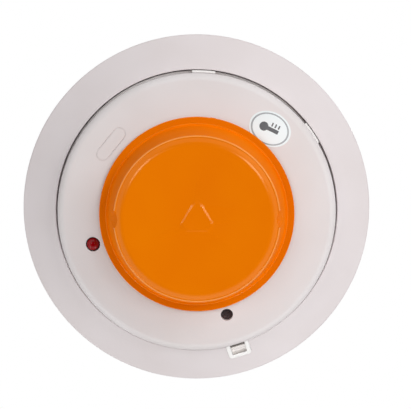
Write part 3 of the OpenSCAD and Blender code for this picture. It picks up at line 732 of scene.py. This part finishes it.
def gate_mark():
    """Small scar where the cap's flange was cut from its runner."""
    angle, half, sink, proud = 80.5, 1.1, 0.45, 0.12
    scar = block("scar", (CAP_FLANGE_R - sink, CAP_FLANGE_R + proud), (-half, half),
                 (DECK_Z + 1.0, DECK_Z + 1.72), angle, 0.2, 2)
    return soften(scar, 0.12, 50, 2)


# ---- lamp, test plunger, label ----


def place_and_finish(piece, place, *finish):
    """Moves a piece made on the axis to its place and finishes it."""
    activate(piece)
    piece.location = Vector((place.x, place.y, 0)) * MM
    bpy.ops.object.transform_apply(location=True)
    return finish_piece(piece, *finish)


def lamp():
    """Five-millimetre lamp: flange, straight body and dome."""
    place = middle("indicator_led")
    top, bottom = high("indicator_led").z, low("indicator_led").z
    radius, flange_w, flange_t = 2.5, 0.4, 1
    centre = top - radius
    dome = [(radius * math.cos(a), centre + radius * math.sin(a), 0)
            for a in (math.radians(5 * k) for k in range(1, 18))]
    body = turned("lamp_lens", [
        (radius + flange_w, bottom, 0.1), (radius + flange_w, bottom + flange_t, 0.15),
        (radius, bottom + flange_t, 0), (radius, centre, 0),
    ] + dome, steps=72, closed=False)
    return place_and_finish(body, place, "head", ["indicator_led"], "led_lens", red_epoxy)


def plunger():
    """Test plunger: stem with a dished end on a wider foot."""
    place, bottom, top = middle("test_plunger"), low("test_plunger").z, high("test_plunger").z
    foot_r, foot_t, stem_r = PORT_R + 0.95, 0.8, PORT_R - 0.05
    piece = turned("test_plunger_pin", [
        (foot_r, bottom, 0.1), (foot_r, bottom + foot_t, 0.1), (stem_r, bottom + foot_t, 0),
        (stem_r, top, 0.25), (1.3, top, 0.1), (1.0, top - 0.5, 0.1),
    ], steps=48, closed=False)
    return place_and_finish(piece, place, "plunger", ["test_plunger"], "plunger_plastic", dark_nylon)


def label(shell):
    """Oval sticker laid on the head's face."""
    radius, angle, turn, length, width, thickness = DECK_R + 5.2, 49.4, -26.0, 16.8, 13.2, 0.1
    centre = at(radius, angle, DECK_Z + 3)
    start()
    bpy.ops.mesh.primitive_circle_add(vertices=96, radius=length / 2 * MM, fill_type="NGON",
                                      location=(0, 0, 0))
    film = bpy.context.object
    editing()
    rings, ring_w = 6, 1.2  # enough faces to follow the bend of the head
    for _ in range(rings):
        bpy.ops.mesh.select_mode(type="FACE")
        bpy.ops.mesh.inset(thickness=ring_w * MM)
    bpy.ops.object.mode_set(mode="OBJECT")
    film.scale.y = width / length
    bpy.ops.object.transform_apply(scale=True)
    film.rotation_euler.z = math.radians(turn)
    film.location = centre * MM
    bpy.ops.object.transform_apply(location=True, rotation=True)
    lay = film.modifiers.new("lay", "SHRINKWRAP")
    lay.target = shell
    lay.wrap_method = "PROJECT"
    lay.use_project_z = True
    lay.use_negative_direction = True
    lay.use_positive_direction = False
    lay.offset = 0.02 * MM
    bpy.ops.object.modifier_apply(modifier=lay.name)
    thick = film.modifiers.new("thick", "SOLIDIFY")
    thick.thickness = thickness * MM
    thick.offset = 1.0
    bpy.ops.object.modifier_apply(modifier=thick.name)
    film = settle("label_sticker")
    return finish_piece(film, "head", ["approval_label"], "label_film", label_film(centre, turn))


# ---- sensing cage ----


def cage():
    """Open cage: a ring, twelve bent ribs and a hub, in one moulding."""
    outer_r, rib_t, shoulder, hub_r = GUARD_RING_R - 3.0, 1.8, 6.0, 8.0
    inner_r, ring_top = outer_r - rib_t, DECK_Z + 3
    rib_count = 12
    ribs = ring_of(cage_rib(outer_r, rib_t, shoulder),
                   [15 + step * 360 / rib_count for step in range(rib_count)])
    piece = turned("sensing_cage", [
        (inner_r, DECK_Z, 0), (GUARD_RING_R, DECK_Z, 0),
        (GUARD_RING_R, ring_top, 0.4), (inner_r, ring_top, 0.4),
    ], steps=144)
    hub = turned("hub", [(hub_r, GUARD_TOP_Z - rib_t, 0.3), (hub_r, GUARD_TOP_Z, 0.5)],
                 steps=72, closed=False)
    add_to(piece, ribs)
    add_to(piece, hub)
    peg_r, peg_length, peg_root = 1.2, 2.6, 0.5
    for angle in PEG_ANGLES:
        add_to(piece, drill("peg", peg_r, DECK_Z - peg_length, DECK_Z + peg_root, at(PEG_PLACE_R, angle), 32))
    return finish_piece(piece, "head", ["thermistor_guard"], "base_plastic", white_abs)


def cage_rib(outer_r, rib_t, shoulder):
    """One rib: a small square extruded up, round the bend and in to the hub."""
    start()
    foot_z, end_r = DECK_Z + 0.5, 6.5
    bend_z = GUARD_TOP_Z - shoulder
    bpy.ops.mesh.primitive_plane_add(size=rib_t * MM, location=Vector((outer_r - rib_t / 2, 0, foot_z)) * MM)
    editing()
    bpy.ops.mesh.select_mode(type="FACE")
    bpy.ops.mesh.extrude_region_move(TRANSFORM_OT_translate={"value": (0, 0, (bend_z - foot_z) * MM)})
    pivot = Vector((outer_r - shoulder, 0, bend_z)) * MM
    bpy.ops.mesh.spin(steps=10, angle=math.radians(90), center=pivot, axis=(0, -1, 0))
    inwards = (end_r - outer_r + shoulder) * MM
    bpy.ops.mesh.extrude_region_move(TRANSFORM_OT_translate={"value": (inwards, 0, 0)})
    bpy.ops.object.mode_set(mode="OBJECT")
    bpy.ops.object.transform_apply(location=True)
    piece = settle("rib")
    return soften(piece, 0.25, 50, 2)


# ---- base ----


def mounting_base():
    """Base moulding with floor, bayonet wall and ledges, terminal pads, catch lugs and the release pocket."""
    catch_in, catch_out, catch_floor = HEAD_R + 0.4, LIP_R - 0.3, 9
    bay_out = HEAD_R - 3.0
    bay_in = bay_out - 1.8
    bay_top = BACK_Z - 0.4
    outside, cable_r = TRIM_TUBE_R - 0.1, 17.0
    base = turned("base_moulding", [
        (cable_r, 0, 0.3), (outside, 0, 0), (outside, RIM_T, 0), (catch_out, RIM_T, 0),
        (catch_out, catch_floor, 0.3), (catch_in, catch_floor, 0.3), (catch_in, FLOOR_T, 0.2),
        (bay_out, FLOOR_T, 0.3), (bay_out, bay_top, 0.3), (bay_in, bay_top, 0.3), (bay_in, FLOOR_T, 0.3),
        (cable_r, FLOOR_T, 0.4),
    ])
    lug_angles = (34.1, 87.1)
    for angle in lug_angles:
        add_to(base, catch_lug(catch_in, catch_out, angle))
    ledge_in, stop_in = HEAD_R - 8.1, HEAD_R - 8.7
    locked_stop, free_stop = -9.75, 27.75
    for angle in BAYONET_ANGLES:
        add_to(base, sector("ledge", (ledge_in, bay_in + 0.5), (7.0, 8.7), angle - 0.6, 18.2))
        for stop_angle in (angle + locked_stop, angle + free_stop):
            add_to(base, sector("stop", (stop_in, bay_in + 0.9), (2, 7.5), stop_angle, 2.5))
    pad_reach, pad_half, pad_top = (23.2, 38.7), 5, 4.0
    for angle in TERMINAL_ANGLES:
        add_to(base, block("pad", pad_reach, (-pad_half, pad_half), (1.5, pad_top), angle, 0.8))
    add_to(base, pocket_frame())
    well_half = 3.0
    cut_with(base, block("well", (POCKET_IN + 0.7, POCKET_OUT - POCKET_WALL), (-well_half, well_half),
                         (RIM_T, LIP_Z + 6), POCKET_ANGLE, 0.3))
    slot_place, slot_half_l, slot_half_w = 32.5, 7.5, 2.3
    for side in (-1, 1):
        along = (side * slot_place - slot_half_l, side * slot_place + slot_half_l)
        cut_with(base, block("slot", along, (-slot_half_w, slot_half_w), (-CUT, FLOOR_T + CUT), 0,
                             slot_half_w - 0.01, 12))
    screw_place_r, screw_hole_r = 28.0, 1.65
    for angle in TERMINAL_ANGLES:
        cut_with(base, drill("screw_hole", screw_hole_r, 0.8, 6, at(screw_place_r, angle), 32))
    return finish_piece(base, "base", ["mounting_base"], "base_plastic", white_abs)


def catch_lug(inside, outside, angle):
    """Lug that stands in the gap and hooks under the trim ring's lip."""
    play, lug_width, nib_width = 0.03, 9.6, 6
    lug = sector("lug", (inside + play, outside - play), (3, LIP_Z + 0.2), angle, lug_width)
    nib = sector("nib", (inside + 0.2, outside + 1), (LIP_Z - 4.2, LIP_Z - 2.6), angle, nib_width)
    add_to(lug, nib)
    return soften(lug, 0.18)


def pocket_frame():
    """Rounded block whose top is level by the lip and then runs parallel to the trim ring's cone."""
    top = LIP_Z + 0.7
    piece = block("pocket", (POCKET_IN, POCKET_OUT), (-POCKET_HALF, POCKET_HALF), (0.5, top), 0,
                  POCKET_CORNER)
    slice_to_cone(piece, top)
    soften(piece, 0.45, 25, 4)
    activate(piece)
    piece.rotation_euler.z = math.radians(POCKET_ANGLE)
    return settle("pocket")


def lever():
    """Release lever: pivot, tongue and a ribbed pad."""
    inner, outer, half = POCKET_IN + 2.5, POCKET_OUT - POCKET_WALL - 0.12, 2.9
    pivot_u, pivot_z, pivot_r = POCKET_IN + 3.4, 4.3, 0.8
    hub_r, pin_half = 1.3, 4.0
    pad_top, pad_t = LIP_Z, 4
    pad = block("pad", (inner, outer), (-half, half), (pad_top - pad_t, pad_top), 0)
    slice_to_cone(pad, pad_top - 0.5)
    groove_w, groove_depth, groove_end = 0.3, 0.75, 0.45
    for start_u in (inner + 0.9, inner + 1.8):
        groove = block("groove", (start_u, start_u + groove_w), (-half + groove_end, half - groove_end),
                       (cone_z(start_u) - groove_depth, LIP_Z + 2), 0)
        cut_with(pad, groove)
    soften(pad, 0.12, 40, 2)
    tongue_half_t, inset = 0.9, 0.02
    tongue = block("tongue", (pivot_u - tongue_half_t, pivot_u + tongue_half_t),
                   (-half + inset, half - inset), (pivot_z, LIP_Z - 3.5), 0)
    hub = cross_rod("hub", hub_r, half - inset / 2, pivot_u, pivot_z)
    pin = cross_rod("pin", pivot_r, pin_half, pivot_u, pivot_z)
    add_to(pad, tongue, hub, pin)
    activate(pad)
    pad.rotation_euler.z = math.radians(POCKET_ANGLE)
    piece = settle("release_lever_pad")
    # the lever's colour is painted lighter, painted light against the pocket's shade
    return finish_piece(piece, "lever", ["release_lever"], "lever_plastic", lever_lightened_abs)


# ---- stage, light and camera ----


def softbox(name, azimuth, elevation, size, power, mirrored=True):
    """Square light on a stand, aimed at the object. mirrored says whether gloss shows it."""
    distance, aim_z = 1.2, 0.02
    data = bpy.data.lights.new(name, "AREA")
    data.shape = "SQUARE"
    data.size = size
    data.energy = power
    box = bpy.data.objects.new(name, data)
    bpy.context.scene.collection.objects.link(box)
    a, e = math.radians(azimuth), math.radians(elevation)
    away = Vector((math.cos(a) * math.cos(e), math.sin(a) * math.cos(e), math.sin(e)))
    box.location = distance * away + Vector((0, 0, aim_z))
    box.rotation_euler = away.to_track_quat("Z", "Y").to_euler()
    box.visible_glossy = mirrored


def light():
    """A light tent: bright walls, dim overhead and underneath, two large softboxes and four small ones.

    Only the small ones show in gloss. The camera sees plain white behind the object.
    """
    tent_strength = 1.13
    world = bpy.data.worlds.new("studio")
    bpy.context.scene.world = world
    world.use_nodes = True
    tree = world.node_tree
    background = tree.nodes["Background"]
    background.inputs["Color"].default_value = linear("#FFFFFF")
    direction = add(tree, "ShaderNodeTexCoord").outputs["Generated"]
    rise = add(tree, "ShaderNodeSeparateXYZ", None, {"Vector": direction}).outputs["Z"]
    height = add(tree, "ShaderNodeMapRange", {"From Min": -1.0}, {"Value": rise}).outputs["Result"]
    walls = add(tree, "ShaderNodeValToRGB", None, {"Fac": height}, [
        (0.0, "#A8A8A8"), (0.44, "#707070"), (0.5, "#000000"), (0.56, "#FFFFFF"), (0.75, "#FFFFFF"),
        (0.925, "#0A0A0A"),
    ])
    tent = add(tree, "ShaderNodeMath", {"operation": "MULTIPLY", 1: tent_strength},
               {0: walls.outputs["Color"]})
    seen = add(tree, "ShaderNodeLightPath").outputs["Is Camera Ray"]
    level = add(tree, "ShaderNodeMath", {"operation": "MAXIMUM"}, {0: tent.outputs[0], 1: seen})
    tree.links.new(level.outputs[0], background.inputs["Strength"])
    softbox("key", 40, 33, 0.6, 4.8, False)
    softbox("fill", -92, 18, 0.6, 2.8, False)
    softbox("upper_right", 33, 61, 0.22, 1.9)
    softbox("upper_left", 146, 62, 0.22, 1.3)
    softbox("front_left", -132, 10, 0.36, 1.0)
    softbox("front_right", -62, 10, 0.36, 1.3)


def camera():
    """Looks almost straight down from half a metre, leaning a little towards +Y, with +Y up."""
    data = bpy.data.cameras.new("camera")
    data.sensor_width = 36.0
    data.lens = 109.1
    data.clip_start, data.clip_end = 0.01, 10.0
    eye = bpy.data.objects.new("camera", data)
    bpy.context.scene.collection.objects.link(eye)
    aim = Vector((3.57, 1.68, TRIM_EDGE))
    stand = Vector((-1.5, 46.8, 503.7))
    back = (stand - aim).normalized()
    right = Vector((0, 1, 0)).cross(back).normalized()
    up = back.cross(right)
    eye.matrix_world = Matrix((right, up, back)).transposed().to_4x4()
    eye.location = stand * MM
    bpy.context.scene.camera = eye


# ---- nodes that keep their own shape ----

CAD_FINISH = {
    "wire_clamps": zinc_steel, "terminal_screws": zinc_steel, "case_screws": zinc_steel,
    "head_back": white_abs, "circuit_board": board_mask, "control_chip": black_epoxy,
    "filter_capacitor": blue_sleeve, "resistors": tan_lacquer, "suppressor_diodes": black_epoxy,
    "reference_thermistor": black_epoxy, "test_switch": black_epoxy, "switch_button": natural_nylon,
    "led_spacer": natural_nylon, "thermistor_leads": tinned_wire, "thermistor_sleeve": natural_nylon,
    "sensing_thermistor": black_epoxy,
}
for pole in (1, 2, 3, 4):
    CAD_FINISH[f"contact_clip_{pole}"] = tinned_brass
    CAD_FINISH[f"contact_blade_{pole}"] = tinned_brass


def paint_cad():
    """Puts each carried-over node's own finish in place of its plain colour."""
    for name, material in CAD_FINISH.items():
        mesh = nodes[name].data
        mesh.materials.clear()
        mesh.materials.append(material)


camera()
light()
paint_cad()
trim_ring()
head = head_shell()
label(head)
dust_cap()
lamp()
plunger()
cage()
mounting_base()
lever()
bpy.context.scene.view_settings.view_transform = "Standard"
